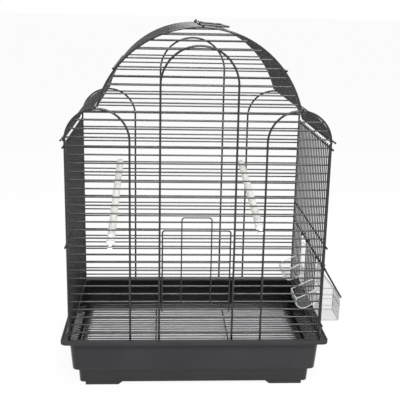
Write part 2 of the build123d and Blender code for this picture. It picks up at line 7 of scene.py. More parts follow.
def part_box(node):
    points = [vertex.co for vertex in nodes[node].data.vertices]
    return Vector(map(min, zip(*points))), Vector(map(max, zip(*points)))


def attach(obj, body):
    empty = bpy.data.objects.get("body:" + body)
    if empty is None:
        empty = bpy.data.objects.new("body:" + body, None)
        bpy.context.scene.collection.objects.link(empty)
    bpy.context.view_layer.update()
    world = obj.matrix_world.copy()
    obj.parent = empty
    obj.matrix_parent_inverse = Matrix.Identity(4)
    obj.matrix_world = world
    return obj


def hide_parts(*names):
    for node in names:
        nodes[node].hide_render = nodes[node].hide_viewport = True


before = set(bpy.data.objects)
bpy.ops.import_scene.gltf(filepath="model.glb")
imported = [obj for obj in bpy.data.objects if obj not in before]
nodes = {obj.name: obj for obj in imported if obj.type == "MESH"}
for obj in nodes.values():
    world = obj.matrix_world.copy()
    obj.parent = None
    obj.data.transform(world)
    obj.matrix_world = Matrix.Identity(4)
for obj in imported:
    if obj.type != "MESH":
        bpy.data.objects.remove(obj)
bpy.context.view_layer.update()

# Lengths are in millimetres until a mesh is made. X and Y are measured from the cage's middle.
MM = 0.001
tray_low, tray_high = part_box("tray")
middle = Vector(((tray_low.x + tray_high.x) / 2, (tray_low.y + tray_high.y) / 2, 0))

# Wires
arch_wire = 2.8
bar_wire = 2.0
cross_wire = 2.6
door_wire = 2.4
bail_wire = 3.0
catch_wire = 2.0
coating = 0.25
running_gap = 0.35
seat_gap = 0.3

# How finely wires and bends are drawn
wire_sides = 12
wire_end_round = 0.3
arc_step = 3.0
bend_runs = 8
eye_turns = 0.92
eye_steps = 28
smooth_angle = 35.0

# Wire cage
half_width = 199.0
arch_y = 136.0
bar_pitch = 13.0
shelf_height = 83.0
first_bar_z = 95.0
side_arch_z = 401.9
side_leg_x = 103.2
tall_arch_z = 484.8
tall_leg_x = 57.7
dome_rise = 119.0
top_bar_drop = 10.8
side_bar_spaces = 21
side_bar_pitch = 2 * arch_y / side_bar_spaces
side_bar_top = 398.5
cross_overhang = 5.0
cross_heights_left = (95.0, 237.0, 392.0)
cross_heights_right = (237.0, 392.0)
feeder_sill_z = 107.0
flap_hinge_z = 202.2
feeder_first_bars = (1, 11)
feeder_bar_spaces = 4
dome_wire_angle = 53.0
shoulder_end_angle = 76.0
roof_flare = 3.8
roof_edge_rise = 1.5
roof_bar_tip = 1.6
shoulder_sag = 3.0

# Places that follow from the sizes above
bar_y = arch_y - (arch_wire + bar_wire) / 2
side_arch_radius = (half_width - side_leg_x) / 2
side_arch_x = (half_width + side_leg_x) / 2
valley_z = side_arch_z + side_arch_radius
dome_top_z = valley_z + dome_rise
dome_radius = (side_arch_x**2 + dome_rise**2) / (2 * dome_rise)
dome_z = dome_top_z - dome_radius
top_bar_z = dome_top_z - top_bar_drop
side_cross_x = half_width + (arch_wire + cross_wire) / 2
side_bar_x = side_cross_x - (cross_wire + bar_wire) / 2
cross_offset = (arch_wire + cross_wire) / 2
roof_bar_offset = cross_offset - (cross_wire + bar_wire) / 2
dome_bar_radius = dome_radius + roof_bar_offset
dome_cross_radius = dome_radius + cross_offset
shoulder_bar_radius = side_arch_radius + roof_bar_offset
shoulder_cross_radius = side_arch_radius + cross_offset
cross_half_length = arch_y + cross_overhang


def coated(wire_diameter):
    """A fixed wire's thickness with its coating."""
    return wire_diameter + 2 * coating


def bar_z(number):
    """Height of a level bar, counted from the lowest as 0."""
    return first_bar_z + number * bar_pitch


def side_bar_y(number):
    """Place along the depth of a bar of the side walls and the roof."""
    return -arch_y + number * side_bar_pitch


def outline_half_width(height):
    """Half of the panel's width at a height."""
    if height <= side_arch_z:
        return half_width
    if height <= valley_z:
        return side_arch_x + math.sqrt(side_arch_radius**2 - (height - side_arch_z) ** 2)
    return math.sqrt(dome_radius**2 - (height - dome_z) ** 2)


def arc(centre_x, centre_z, radius, first, last, y=0.0):
    """Points on an arc in a plane of constant Y, with angles measured from straight up."""
    steps = max(2, math.ceil(abs(last - first) / arc_step))
    angles = [math.radians(first + (last - first) * i / steps) for i in range(steps + 1)]
    return [
        Vector((centre_x + radius * math.sin(a), y, centre_z + radius * math.cos(a)))
        for a in angles
    ]


def smooth_bend(start, corner, end, runs):
    """Points from a start to an end, on a curve drawn towards a corner."""
    points = []
    for step in range(runs + 1):
        t = step / runs
        points.append(start * (1 - t) ** 2 + corner * (2 * t * (1 - t)) + end * t**2)
    return points


def rounded(points, corners, runs=bend_runs):
    """The points of a line whose square corners are rounded, each by its own radius."""
    bends = [Vector(point) for point in points]
    route = [bends[0]]
    for before, bend, after, corner in zip(bends, bends[1:], bends[2:], corners):
        back = (before - bend).normalized() * corner
        ahead = (after - bend).normalized() * corner
        for step in range(runs + 1):
            turn = math.pi / 2 * step / runs
            route.append(bend + back + ahead - ahead * math.cos(turn) - back * math.sin(turn))
    route.append(bends[-1])
    return route


def add_object(name, data):
    """An object of the scene that shows a mesh, a light or a camera."""
    obj = bpy.data.objects.new(name, data)
    bpy.context.scene.collection.objects.link(obj)
    return obj


def soften(obj, bevel, segments=2, angle=40.0):
    """Round an object's edges sharper than an angle, by a width in millimetres."""
    edges = obj.modifiers.new("edges", "BEVEL")
    edges.width = bevel * MM
    edges.segments = segments
    edges.limit_method = "ANGLE"
    edges.angle_limit = math.radians(angle)


class Shape:
    """Faces gathered in millimetres, to be made into one piece."""

    def __init__(self):
        """Start with no points and no faces."""
        self.verts = []
        self.faces = []

    def ring_loft(self, rings):
        """Faces between rings of equal length, in order, with both ends capped."""
        first = len(self.verts)
        size = len(rings[0])
        for ring in rings:
            self.verts.extend(ring)
        for i in range(len(rings) - 1):
            a = first + i * size
            b = a + size
            for j in range(size):
                k = (j + 1) % size
                self.faces.append((a + j, a + k, b + k, b + j))
        last = first + (len(rings) - 1) * size
        self.faces.append(tuple(first + j for j in reversed(range(size))))
        self.faces.append(tuple(last + j for j in range(size)))

    def tube(self, points, diameter):
        """A round wire through points, with its cut ends slightly rounded."""
        points = [Vector(p) for p in points]
        radius = diameter / 2
        count = len(points)
        tangents = []
        for i in range(count):
            before = points[max(i - 1, 0)]
            after = points[min(i + 1, count - 1)]
            tangents.append((after - before).normalized())
        side = tangents[0].orthogonal().normalized()
        frames = []
        for tangent in tangents:
            side = (side - tangent * side.dot(tangent)).normalized()
            frames.append((side, tangent.cross(side)))
        rings = []
        for point, (u, v) in zip(points, frames):
            rings.append(self.circle(point, u, v, radius))
        edge = radius * wire_end_round
        start = points[0] + tangents[0] * edge
        end = points[-1] - tangents[-1] * edge
        rings[0] = self.circle(points[0], *frames[0], radius - edge)
        rings.insert(1, self.circle(start, *frames[0], radius))
        rings[-1] = self.circle(points[-1], *frames[-1], radius - edge)
        rings.insert(-1, self.circle(end, *frames[-1], radius))
        self.ring_loft(rings)

    @staticmethod
    def circle(centre, u, v, radius):
        """A wire's points round a centre, in the plane of two directions."""
        turns = [2 * math.pi * i / wire_sides for i in range(wire_sides)]
        return [centre + u * (radius * math.cos(t)) + v * (radius * math.sin(t)) for t in turns]

    def piece(self, name, body, material, replaced=()):
        """Make the gathered faces into an object that rides on a body."""
        mesh = bpy.data.meshes.new(name)
        places = [(Vector(v) * MM + middle) for v in self.verts]
        mesh.from_pydata(places, [], self.faces)
        mesh.update()
        mesh.polygons.foreach_set("use_smooth", [True] * len(mesh.polygons))
        mesh.set_sharp_from_angle(angle=math.radians(smooth_angle))
        obj = add_object(name, mesh)
        obj.data.materials.append(material)
        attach(obj, body)
        if replaced:
            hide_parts(*replaced)
        return obj

    def wire_piece(self, name, body, node):
        """Make the gathered wires into a black piece in place of a CAD node."""
        return self.piece(name, body, wire, (node,))


# Materials
noise_low = 0.3
noise_high = 0.7
blend_start = 0.35
blend_end = 0.65


def new_material(name, color, roughness):
    """A material with its nodes, and its shader."""
    material = bpy.data.materials.new(name)
    material.use_nodes = True
    shader = material.node_tree.nodes["Principled BSDF"]
    shader.inputs["Base Color"].default_value = (*color, 1)
    shader.inputs["Roughness"].default_value = roughness
    return material, material.node_tree, shader


def object_noise(tree, scale, detail):
    """Noise fixed to the piece, in its own metres."""
    place = tree.nodes.new("ShaderNodeTexCoord")
    noise = tree.nodes.new("ShaderNodeTexNoise")
    noise.inputs["Scale"].default_value = scale
    noise.inputs["Detail"].default_value = detail
    tree.links.new(place.outputs["Object"], noise.inputs["Vector"])
    return noise


def spread(tree, source, low, high):
    """A value that runs from low to high over the usual range of a noise."""
    change = tree.nodes.new("ShaderNodeMapRange")
    change.inputs["From Min"].default_value = noise_low
    change.inputs["From Max"].default_value = noise_high
    change.inputs["To Min"].default_value = low
    change.inputs["To Max"].default_value = high
    tree.links.new(source, change.inputs["Value"])
    return change.outputs["Result"]


def blend_colors(tree, source, dark, light):
    """A colour between two, by a source."""
    ramp = tree.nodes.new("ShaderNodeValToRGB")
    ramp.color_ramp.elements[0].position = blend_start
    ramp.color_ramp.elements[0].color = (*dark, 1)
    ramp.color_ramp.elements[1].position = blend_end
    ramp.color_ramp.elements[1].color = (*light, 1)
    tree.links.new(source, ramp.inputs["Fac"])
    return ramp.outputs["Color"]


def bump(tree, shader, source, height, strength):
    """Small relief on the surface, with its height in metres."""
    relief = tree.nodes.new("ShaderNodeBump")
    relief.inputs["Distance"].default_value = height
    relief.inputs["Strength"].default_value = strength
    tree.links.new(source, relief.inputs["Height"])
    tree.links.new(relief.outputs["Normal"], shader.inputs["Normal"])


def wire_coating():
    """Black coating on steel wire, a little uneven from dipping."""
    material, tree, shader = new_material("wire_coating", (0.005, 0.005, 0.006), roughness=0.2)
    uneven = object_noise(tree, scale=260, detail=3).outputs["Fac"]
    color = blend_colors(tree, uneven, dark=(0.003, 0.003, 0.004), light=(0.008, 0.008, 0.009))
    tree.links.new(color, shader.inputs["Base Color"])
    tree.links.new(spread(tree, uneven, low=0.1, high=0.18), shader.inputs["Roughness"])
    shader.inputs["Specular IOR Level"].default_value = 0.6
    bump(tree, shader, uneven, height=0.00005, strength=0.5)
    return material


def tray_plastic():
    """Charcoal moulded plastic with a fine satin grain."""
    material, tree, shader = new_material("tray_plastic", (0.03, 0.03, 0.033), roughness=0.55)
    cloud = object_noise(tree, scale=14, detail=2).outputs["Fac"]
    grain = object_noise(tree, scale=1800, detail=2).outputs["Fac"]
    color = blend_colors(tree, cloud, dark=(0.018, 0.0175, 0.02), light=(0.024, 0.023, 0.026))
    tree.links.new(color, shader.inputs["Base Color"])
    tree.links.new(spread(tree, cloud, low=0.5, high=0.62), shader.inputs["Roughness"])
    shader.inputs["Specular IOR Level"].default_value = 0.35
    bump(tree, shader, grain, height=0.00006, strength=0.6)
    return material


def tray_inside_painted_shade():
    """The same plastic inside the tub, smooth and glossy, its colour darkened to paint the shade
    deep in the tub.
    """
    material, tree, shader = new_material("tray_inside_painted_shade", (0.012, 0.012, 0.013), roughness=0.14)
    cloud = object_noise(tree, scale=14, detail=2).outputs["Fac"]
    color = blend_colors(tree, cloud, dark=(0.006, 0.006, 0.007), light=(0.009, 0.009, 0.01))
    tree.links.new(color, shader.inputs["Base Color"])
    tree.links.new(spread(tree, cloud, low=0.1, high=0.18), shader.inputs["Roughness"])
    return material


def liner_sheet():
    """Plain white sheet with a faint mottle."""
    material, tree, shader = new_material("liner_sheet", (0.85, 0.85, 0.86), roughness=0.6)
    mottle = object_noise(tree, scale=30, detail=4).outputs["Fac"]
    color = blend_colors(tree, mottle, dark=(0.84, 0.83, 0.85), light=(0.93, 0.93, 0.93))
    tree.links.new(color, shader.inputs["Base Color"])
    bump(tree, shader, mottle, height=0.0002, strength=0.3)
    return material


def perch_plastic(name, dark, light):
    """Off-white plastic, slightly waxy."""
    material, tree, shader = new_material(name, light, roughness=0.45)
    cloud = object_noise(tree, scale=60, detail=3).outputs["Fac"]
    tree.links.new(blend_colors(tree, cloud, dark, light), shader.inputs["Base Color"])
    bump(tree, shader, cloud, height=0.0001, strength=0.3)
    shader.inputs["Subsurface Weight"].default_value = 0.08
    return material


def clear_plastic():
    """Clear thin plastic: nearly open face on, and whiter where it is seen edge on, a painted
    reflection in its colour.
    """
    edge_on_sheen = (0.8, 0.82, 0.83)
    material, tree, shader = new_material("clear_plastic", edge_on_sheen, roughness=0.1)
    shader.inputs["Specular IOR Level"].default_value = 0.8
    cloud = object_noise(tree, scale=40, detail=2).outputs["Fac"]
    tree.links.new(spread(tree, cloud, low=0.06, high=0.16), shader.inputs["Roughness"])
    slope = tree.nodes.new("ShaderNodeLayerWeight")
    slope.inputs["Blend"].default_value = 0.5
    sharper = tree.nodes.new("ShaderNodeMath")
    sharper.operation = "POWER"
    sharper.inputs[1].default_value = 5.0
    tree.links.new(slope.outputs["Facing"], sharper.inputs[0])
    # Base colour greyer face on and whiter edge on: the edge-on whitening is a painted reflection.
    color = blend_colors(tree, sharper.outputs[0], dark=(0.2, 0.205, 0.215), light=edge_on_sheen)
    tree.links.new(color, shader.inputs["Base Color"])
    cover = tree.nodes.new("ShaderNodeMapRange")
    cover.inputs["To Min"].default_value = 0.07
    cover.inputs["To Max"].default_value = 0.9
    tree.links.new(sharper.outputs[0], cover.inputs["Value"])
    tree.links.new(cover.outputs["Result"], shader.inputs["Alpha"])
    return material


def painted_edge_beads(name, color):
    """Beads along the thick rounded edges of the clear moulding; their colour paints light and
    shade: bright beads paint highlights, grey beads paint the dark lines at the edges.
    """
    material, tree, shader = new_material(name, color, roughness=0.15)
    cloud = object_noise(tree, scale=120, detail=2).outputs["Fac"]
    tree.links.new(spread(tree, cloud, low=0.1, high=0.2), shader.inputs["Roughness"])
    tree.links.new(spread(tree, cloud, low=0.45, high=0.65), shader.inputs["Alpha"])
    shader.inputs["Specular IOR Level"].default_value = 0.8
    return material


wire = wire_coating()
charcoal = tray_plastic()
# The darker inside plastic is painted shade for the inside of the tub.
shaded_inside_charcoal = tray_inside_painted_shade()
liner = liner_sheet()
perch_white = perch_plastic("perch_plastic", dark=(0.54, 0.53, 0.5), light=(0.64, 0.63, 0.6))
cap_white = perch_plastic("cap_plastic", dark=(0.8, 0.8, 0.8), light=(0.88, 0.88, 0.88))
clear = clear_plastic()
# Near-white beads: painted highlights along the scoop edges.
scoop_edge_highlight = painted_edge_beads("scoop_highlight_edges", (0.88, 0.9, 0.91))
# Grey beads: painted dark lines along the hopper edges.
hopper_edge_shade = painted_edge_beads("hopper_shade_edges", (0.4, 0.41, 0.42))


# Front and back panels


def arch(shape, centre_x, spring_z, radius, y):
    """A wire that runs up a leg, over an arch and down the other leg."""
    top = arc(centre_x, spring_z, radius, -90, 90, y)
    left = Vector((centre_x - radius, y, shelf_height))
    right = Vector((centre_x + radius, y, shelf_height))
    shape.tube([left] + top + [right], coated(arch_wire))


def panel_arches(y, name, node):
    """The arch wires of one panel."""
    shape = Shape()
    for side in (-1, 1):
        arch(shape, side * side_arch_x, side_arch_z, side_arch_radius, y)
    arch(shape, 0, tall_arch_z, tall_leg_x, y)
    shape.wire_piece(name, "cage", node)


def panel_dome(y, name, node):
    """The dome wire of one panel."""
    shape = Shape()
    reach = math.degrees(math.asin(side_arch_x / dome_radius) - arch_wire / dome_radius)
    shape.tube(arc(0, dome_z, dome_radius, -reach, reach, y), coated(arch_wire))
    shape.wire_piece(name, "cage", node)


panel_arches(-arch_y, "front_arches", "front_arch_wires")
panel_dome(-arch_y, "front_dome", "front_dome_wire")
panel_arches(arch_y, "back_arches", "back_arch_wires")
panel_dome(arch_y, "back_dome", "back_dome_wire")

# Level bars, and the door's place among them
door_hinge_bar = 3
door_bar_count = 9
door_levels = range(door_hinge_bar + 1, door_hinge_bar + door_bar_count + 2)
level_count = int((top_bar_z - bar_wire - first_bar_z) // bar_pitch) + 1
levels = [bar_z(n) for n in range(level_count)] + [top_bar_z]
door_heights = [bar_z(n) for n in door_levels]


def level_bar(shape, y, z, start, end):
    """A level bar from one X to another."""
    shape.tube([(start, y, z), (end, y, z)], coated(bar_wire))


def panel_bars(y, name, node, with_door):
    """The level bars of one panel."""
    shape = Shape()
    for z in levels:
        reach = outline_half_width(z)
        if with_door and z in door_heights:
            level_bar(shape, y, z, -reach, -tall_leg_x)
            level_bar(shape, y, z, tall_leg_x, reach)
        else:
            level_bar(shape, y, z, -reach, reach)
    shape.wire_piece(name, "cage", node)


panel_bars(-bar_y, "front_level_bars", "front_bars", True)
panel_bars(bar_y, "back_level_bars", "back_bars", False)


# Side walls


def upright(shape, x, number, bottom, top):
    """An upright bar of a side wall."""
    y = side_bar_y(number)
    shape.tube([(x, y, bottom), (x, y, top)], bar_wire)


feeder_bars = [first + step for first in feeder_first_bars for step in range(1, feeder_bar_spaces)]
left_wall = Shape()
right_wall = Shape()
for number in range(1, side_bar_spaces):
    upright(left_wall, -side_bar_x, number, shelf_height, side_bar_top)
    if number in feeder_bars:
        upright(right_wall, side_bar_x, number, shelf_height, feeder_sill_z + cross_wire / 2)
        upright(right_wall, side_bar_x, number, flap_hinge_z - cross_wire / 2, side_bar_top)
    else:
        upright(right_wall, side_bar_x, number, shelf_height, side_bar_top)
left_wall.wire_piece("left_uprights", "cage", "left_bars")
right_wall.wire_piece("right_uprights", "cage", "right_bars")


def depth_wires(name, node, places):
    """Wires along the depth, each at one X and Z, with their ends standing out."""
    shape = Shape()
    for x, z in places:
        shape.tube([(x, -cross_half_length, z), (x, cross_half_length, z)], coated(cross_wire))
    shape.wire_piece(name, "cage", node)


depth_wires("left_cross", "left_cross_wires", [(-side_cross_x, z) for z in cross_heights_left])
depth_wires("right_cross", "right_cross_wires", [(side_cross_x, z) for z in cross_heights_right])
depth_wires("feeder_sill", "feeder_sill_wire", [(side_cross_x, feeder_sill_z)])
depth_wires("flap_hinge", "flap_hinge_wire", [(side_cross_x, flap_hinge_z)])

# Roof
centre_gap = math.hypot(side_arch_x, side_arch_z - dome_z)
along = (dome_cross_radius**2 - shoulder_cross_radius**2 + centre_gap**2) / (2 * centre_gap)
across = math.sqrt(dome_cross_radius**2 - along**2)
gap_x = side_arch_x / centre_gap
gap_z = (side_arch_z - dome_z) / centre_gap
valley_x = along * gap_x - across * gap_z
valley_wire_z = dome_z + along * gap_z + across * gap_x
valley_angle = math.degrees(math.atan2(valley_x, valley_wire_z - dome_z))
shoulder_angle = math.degrees(math.atan2(valley_x - side_arch_x, valley_wire_z - side_arch_z))
roof_edge = Vector((half_width + roof_flare, 0, side_arch_z - roof_edge_rise))
last_turn = math.radians(shoulder_end_angle)
shoulder_end = Vector(
    (
        side_arch_x + shoulder_bar_radius * math.sin(last_turn),
        0,
        side_arch_z + shoulder_bar_radius * math.cos(last_turn),
    )
)
flare = (roof_edge - shoulder_end).normalized()


def shoulder_curve(y):
    """A roof bar over the right shoulder, a little flatter than the arches between its wires."""
    centre = Vector((side_arch_x, y, side_arch_z))
    first, last = shoulder_angle, shoulder_end_angle
    curve = arc(side_arch_x, side_arch_z, shoulder_bar_radius, first, last, y)
    for number, point in enumerate(curve):
        sag = shoulder_sag * math.sin(math.pi * number / (len(curve) - 1))
        curve[number] = point + (centre - point).normalized() * sag
    curve.append(roof_edge + flare * roof_bar_tip + Vector((0, y, 0)))
    return curve


dome_sheet = Shape()
left_shoulder = Shape()
right_shoulder = Shape()
for number in range(1, side_bar_spaces):
    y = side_bar_y(number)
    dome_curve = arc(0, dome_z, dome_bar_radius, -valley_angle, valley_angle, y)
    dome_sheet.tube(dome_curve, bar_wire)
    curve = shoulder_curve(y)
    right_shoulder.tube(curve, bar_wire)
    left_shoulder.tube([Vector((-p.x, p.y, p.z)) for p in curve], bar_wire)
dome_sheet.wire_piece("dome_sheet_bars", "cage", "roof_dome_bars")
left_shoulder.wire_piece("left_shoulder_bars", "cage", "roof_left_bars")
right_shoulder.wire_piece("right_shoulder_bars", "cage", "roof_right_bars")

edge_offset = (bar_wire + cross_wire) / 2
edge_x = roof_edge.x - edge_offset * flare.z - bar_wire * flare.x
edge_z = roof_edge.z + edge_offset * flare.x - bar_wire * flare.z
dome_turn = math.radians(dome_wire_angle)
roof_places = []
for side in (-1, 1):
    roof_places.append((side * valley_x, valley_wire_z))
    roof_places.append((side * edge_x, edge_z))
    wire_x = side * dome_cross_radius * math.sin(dome_turn)
    roof_places.append((wire_x, dome_z + dome_cross_radius * math.cos(dome_turn)))
depth_wires("roof_cross", "roof_cross_wires", roof_places)
handle_pin_x = 3.0
handle_z = dome_z + math.sqrt(dome_cross_radius**2 - handle_pin_x**2)
depth_wires("handle_pin", "handle_pin_wire", [(handle_pin_x, handle_z)])


# Carrying handle


def eye(shape, centre, axis, wire_diameter, around):
    """A nearly closed loop of wire round another wire, whose diameter is around."""
    axis = Vector(axis).normalized()
    u = axis.orthogonal().normalized()
    v = axis.cross(u)
    radius = around / 2 + running_gap + wire_diameter / 2
    points = []
    for i in range(eye_steps + 1):
        t = 2 * math.pi * eye_turns * i / eye_steps
        points.append(Vector(centre) + u * (radius * math.cos(t)) + v * (radius * math.sin(t)))
    shape.tube(points, wire_diameter)


handle_arm = 43.0
handle_rest_angle = math.radians(4.4)
handle_half_span = 6
handle_corner = 10.0
handle_bend_runs = 10
handle_y = handle_half_span * side_bar_pitch
eye_reach = cross_wire / 2 + running_gap + bail_wire / 2


def handle_point(x, y):
    """A point of the folded handle's plane."""
    return Vector(
        (
            handle_pin_x + x * math.cos(handle_rest_angle),
            y,
            handle_z - x * math.sin(handle_rest_angle),
        )
    )


bail = Shape()
for side in (-1, 1):
    eye(bail, (handle_pin_x, side * handle_y, handle_z), (0, 1, 0), bail_wire, cross_wire)
corners = [
    handle_point(eye_reach, -handle_y),
    handle_point(handle_arm, -handle_y),
    handle_point(handle_arm, handle_y),
    handle_point(eye_reach, handle_y),
]
bail.tube(rounded(corners, [handle_corner, handle_corner], handle_bend_runs), bail_wire)
bail.wire_piece("handle_wire", "carry_handle", "handle_bail")


# Front door
door_half_width = 53.8
door_shift = -0.8
door_corner = 4.0
catch_half_width = 23.0
catch_reach = 21.3
catch_corner = 4.5
catch_foot_corner = 1.6
hinge_z = bar_z(door_hinge_bar)
door_y = -bar_y - (bar_wire + door_wire) / 2 - running_gap
door_bar_y = door_y + (door_wire + bar_wire) / 2
catch_y = door_y - (door_wire + catch_wire) / 2
door_top_z = bar_z(door_hinge_bar + door_bar_count + 1)
catch_foot_z = bar_z(door_hinge_bar + 1)
door_left = door_shift - door_half_width + door_wire / 2
door_right = door_shift + door_half_width - door_wire / 2

door = Shape()
corners = [
    (door_left, door_y, hinge_z),
    (door_left, door_y, door_top_z),
    (door_right, door_y, door_top_z),
    (door_right, door_y, hinge_z),
]
door.tube(rounded(corners, [door_corner, door_corner]), door_wire)
for x in (door_left, door_right):
    eye(door, (x, -bar_y, hinge_z), (1, 0, 0), door_wire, bar_wire)
door.wire_piece("door_outline", "front_door", "door_frame")

door_level = Shape()
for z in door_heights[:-1]:
    level_bar(door_level, door_bar_y, z, door_left, door_right)
door_level.wire_piece("door_level_bars", "front_door", "door_bars")

catch = Shape()
catch_foot_y = door_bar_y - bar_wire / 2
catch_left = door_shift - catch_half_width
catch_right = door_shift + catch_half_width
corners = [
    (catch_left, catch_foot_y, catch_foot_z),
    (catch_left, catch_y, catch_foot_z),
    (catch_left, catch_y, door_top_z + catch_reach),
    (catch_right, catch_y, door_top_z + catch_reach),
    (catch_right, catch_y, catch_foot_z),
    (catch_right, catch_foot_y, catch_foot_z),
]
catch_radii = [catch_foot_corner, catch_corner, catch_corner, catch_foot_corner]
catch.tube(rounded(corners, catch_radii), catch_wire)
catch.wire_piece("door_catch_wire", "front_door", "door_catch")

# Feeder flaps
flap_length = 65.7
flap_side_margin = 3.2
flap_corner = 4.0
flap_top_rail = 7.0
cup_outside = 34.1
cup_rim = 39.5
opening_half_width = feeder_bar_spaces * side_bar_pitch / 2
flap_half_width = opening_half_width - flap_side_margin
cup_floor_z = feeder_sill_z + cross_wire / 2
cup_outer_x = half_width + cup_outside
corner_x = cup_outer_x - side_cross_x
corner_z = flap_hinge_z - cup_floor_z - cup_rim
flap_rest = math.atan2(corner_x, corner_z)
flap_rest += math.asin((door_wire / 2 + seat_gap) / math.hypot(corner_x, corner_z))


def feeder_centre(first):
    """Middle of a feeder opening along the depth."""
    return side_bar_y(first) + opening_half_width


def flap_point(reach, y):
    """A point of a flap at rest, a distance from its hinge."""
    x = side_cross_x + reach * math.sin(flap_rest)
    return Vector((x, y, flap_hinge_z - reach * math.cos(flap_rest)))


for place, first in zip(("front", "back"), feeder_first_bars):
    centre_y = feeder_centre(first)
    body = f"feeder_flap_{place}"
    outline = Shape()
    near, far = centre_y - flap_half_width, centre_y + flap_half_width
    start = cross_wire / 2 + running_gap + door_wire / 2
    end = flap_length - door_wire / 2
    corners = [
        flap_point(start, near),
        flap_point(end, near),
        flap_point(end, far),
        flap_point(start, far),
    ]
    outline.tube(rounded(corners, [flap_corner, flap_corner]), door_wire)
    outline.tube([flap_point(flap_top_rail, near), flap_point(flap_top_rail, far)], bar_wire)
    for y in (near, far):
        eye(outline, (side_cross_x, y, flap_hinge_z), (0, 1, 0), door_wire, cross_wire)
    outline.wire_piece(f"flap_outline_{place}", body, f"flap_frame_{place}")
    rods = Shape()
    for step in range(1, feeder_bar_spaces):
        y = centre_y - opening_half_width + step * side_bar_pitch
        first_reach = flap_top_rail + bar_wire / 2
        rods.tube([flap_point(first_reach, y), flap_point(flap_length - door_wire, y)], bar_wire)
    rods.wire_piece(f"flap_rods_{place}", body, f"flap_bars_{place}")

# Perches. The left one's front end is too far left in the solids, so it is mended here.
moulded_edge = 0.3
left_perch_back_slide = 1.5
left_perch_front_slide = 19.6


def carry_over(node, material):
    """A CAD node that stays, with its own material and softened edges."""
    obj = nodes[node]
    obj.data.materials.clear()
    obj.data.materials.append(material)
    soften(obj, moulded_edge)


def slid_perch(node, name, material):
    """A piece of the left perch, with its front end slid to the right along its bar."""
    source = nodes[node]
    mesh = source.data.copy()
    for vertex in mesh.vertices:
        place = source.matrix_world @ vertex.co
        share = (bar_y * MM + middle.y - place.y) / (2 * bar_y * MM)
        slide = left_perch_back_slide + (left_perch_front_slide - left_perch_back_slide) * share
        vertex.co = place + Vector((slide * MM, 0, 0))
    obj = add_object(name, mesh)
    mesh.materials.clear()
    mesh.materials.append(material)
    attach(obj, "cage")
    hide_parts(node)
    soften(obj, moulded_edge)


carry_over("perch_right", perch_white)
carry_over("perch_cap_right", cap_white)
slid_perch("perch_left", "left_perch_rod", perch_white)
slid_perch("perch_cap_left", "left_perch_cap", cap_white)

# Feeders
cup_wall = 1.6
cup_side_gap = 1.4
cup_cheek = 77.5
cup_band_height = 26.5
scoop_tip_rise = 37.5
scoop_chin = 11.5
scoop_chin_rise = 19.0
scoop_dam_rise = 34.5
scoop_cheek_rise = 56.5
scoop_reach = 38.0
scoop_chin_reach = 25.5
scoop_bend_share = 0.4
scoop_bend_runs = 6
scoop_tip_x = half_width - scoop_reach + cup_wall / 2
scoop_chin_x = half_width - scoop_chin_reach
cheek_x = side_cross_x + cross_wire / 2 + seat_gap
flange_x = side_bar_x + bar_wire / 2 + seat_gap
cup_edge_x = cup_outer_x - cup_wall / 2
cup_edge_y = opening_half_width - bar_wire / 2 - cup_side_gap - cup_wall / 2
edge_bead = 1.5
edge_bend = 3.0


def edge_round(shape, centre_y, start, end):
    """A bead along one side from a start to an end in X and height, across and back."""
    near, far = centre_y - cup_edge_y, centre_y + cup_edge_y
    corners = [
        (start[0], near, cup_floor_z + start[1]),
        (end[0], near, cup_floor_z + end[1]),
        (end[0], far, cup_floor_z + end[1]),
        (start[0], far, cup_floor_z + start[1]),
    ]
    shape.tube(rounded(corners, [edge_bend, edge_bend]), edge_bead)


def scoop_edge(shape, y):
    """The bead along the lower edge of a scoop's side."""
    low = cup_floor_z + cup_wall / 2
    corners = [
        Vector((scoop_tip_x, y, low + scoop_tip_rise)),
        Vector((scoop_tip_x, y, low + scoop_tip_rise - scoop_chin)),
        Vector((scoop_chin_x, y, low + scoop_chin_rise)),
        Vector((flange_x, y, low + scoop_dam_rise)),
    ]
    points = [corners[0]]
    for before, corner, after in zip(corners, corners[1:], corners[2:]):
        start = corner.lerp(before, scoop_bend_share)
        end = corner.lerp(after, scoop_bend_share)
        points.extend(smooth_bend(start, corner, end, scoop_bend_runs))
    points.append(corners[-1])
    shape.tube(points, edge_bead)


for place, first in zip(("front", "back"), feeder_first_bars):
    carry_over(f"feeder_cup_{place}", clear)
    centre_y = feeder_centre(first)
    # Bright beads paint the highlights along the scoop's edges.
    scoop = Shape()
    edge_round(scoop, centre_y, (flange_x, scoop_cheek_rise), (scoop_tip_x, scoop_tip_rise))
    for side in (-1, 1):
        scoop_edge(scoop, centre_y + side * cup_edge_y)
    scoop.piece(f"scoop_highlight_edges_{place}", "cage", scoop_edge_highlight)
    # Grey beads paint the dark lines along the hopper's edges.
    hopper = Shape()
    edge_round(hopper, centre_y, (cheek_x, cup_cheek), (cup_edge_x, cup_rim))
    for height in (cup_wall / 2, cup_band_height, cup_rim - cup_wall):
        edge_round(hopper, centre_y, (cheek_x, height), (cup_edge_x, height))
    for side in (-1, 1):
        y = centre_y + side * cup_edge_y
        low = (cup_edge_x, y, cup_floor_z + edge_bead)
        hopper.tube([low, (cup_edge_x, y, cup_floor_z + cup_rim - edge_bead)], edge_bead)
    hopper.piece(f"hopper_shade_edges_{place}", "cage", hopper_edge_shade)

